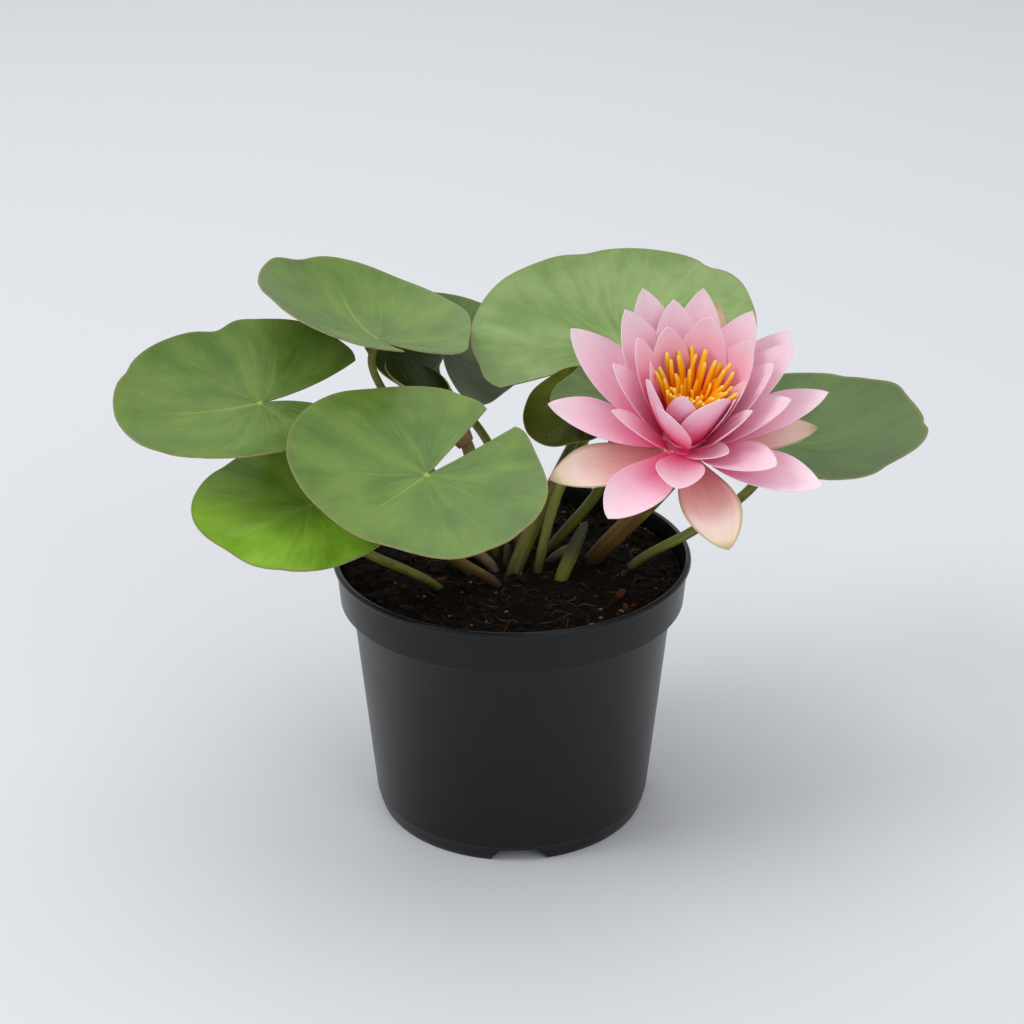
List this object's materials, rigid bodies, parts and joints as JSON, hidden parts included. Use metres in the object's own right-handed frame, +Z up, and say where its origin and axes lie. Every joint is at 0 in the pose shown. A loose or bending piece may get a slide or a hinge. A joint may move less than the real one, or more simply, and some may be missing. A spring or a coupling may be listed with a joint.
{
  "type": "potted water lily",
  "caption": "Water lily in bloom: round cleft leaves and a many-petalled pink flower on stalks, rooted in soil in a plain round nursery pot.",
  "frame": {"origin": "centre of the pot's underside, where it rests", "axes": "+Z up; the flower leans towards -Y, the viewer's side in the picture; +X to the viewer's right, along the leaves' widest spread"},
  "size_m": [0.4147, 0.2967, 0.2977],
  "materials": {
    "pot": "satin black moulding",
    "soil": null,
    "leaves": null,
    "leaf_dark": null,
    "stalks_green": null,
    "stalks_brown": null,
    "bracts": "dry, papery, brown",
    "sepals": "cream flushed pink, soft satin",
    "petals": "pink, deeper at the base, pale at the tips, soft satin",
    "stamens": "waxy orange with yellow tips"
  },
  "bodies": {
    "root": {"pot": "pot", "soil": "soil", "sepals": "sepals", "petals_outer": "petals", "petals_middle": "petals", "petals_inner": "petals", "stamens": "stamens", "leaf_left": "leaves", "leaf_front": "leaves", "leaf_low_left": "leaves", "leaf_back_left": "leaves", "leaf_back_right": "leaves", "leaf_right": "leaves", "leaf_rear": "leaves", "leaf_young": "leaves", "rolled_leaf": "leaves", "leaf_shaded": "leaf_dark", "spear_leaf": "leaf_dark", "small_shoot": "leaf_dark", "stalk_left": "stalks_green", "stalk_low_left": "stalks_green", "stalk_back_left": "stalks_green", "stalk_right": "stalks_green", "stalk_rear": "stalks_green", "stalk_shaded": "stalks_green", "stalk_front": "stalks_brown", "stalk_back_right": "stalks_brown", "stalk_young": "stalks_brown", "flower_stalk": "stalks_brown", "bract_left": "bracts", "bract_right": "bracts"}
  },
  "joints": []
}
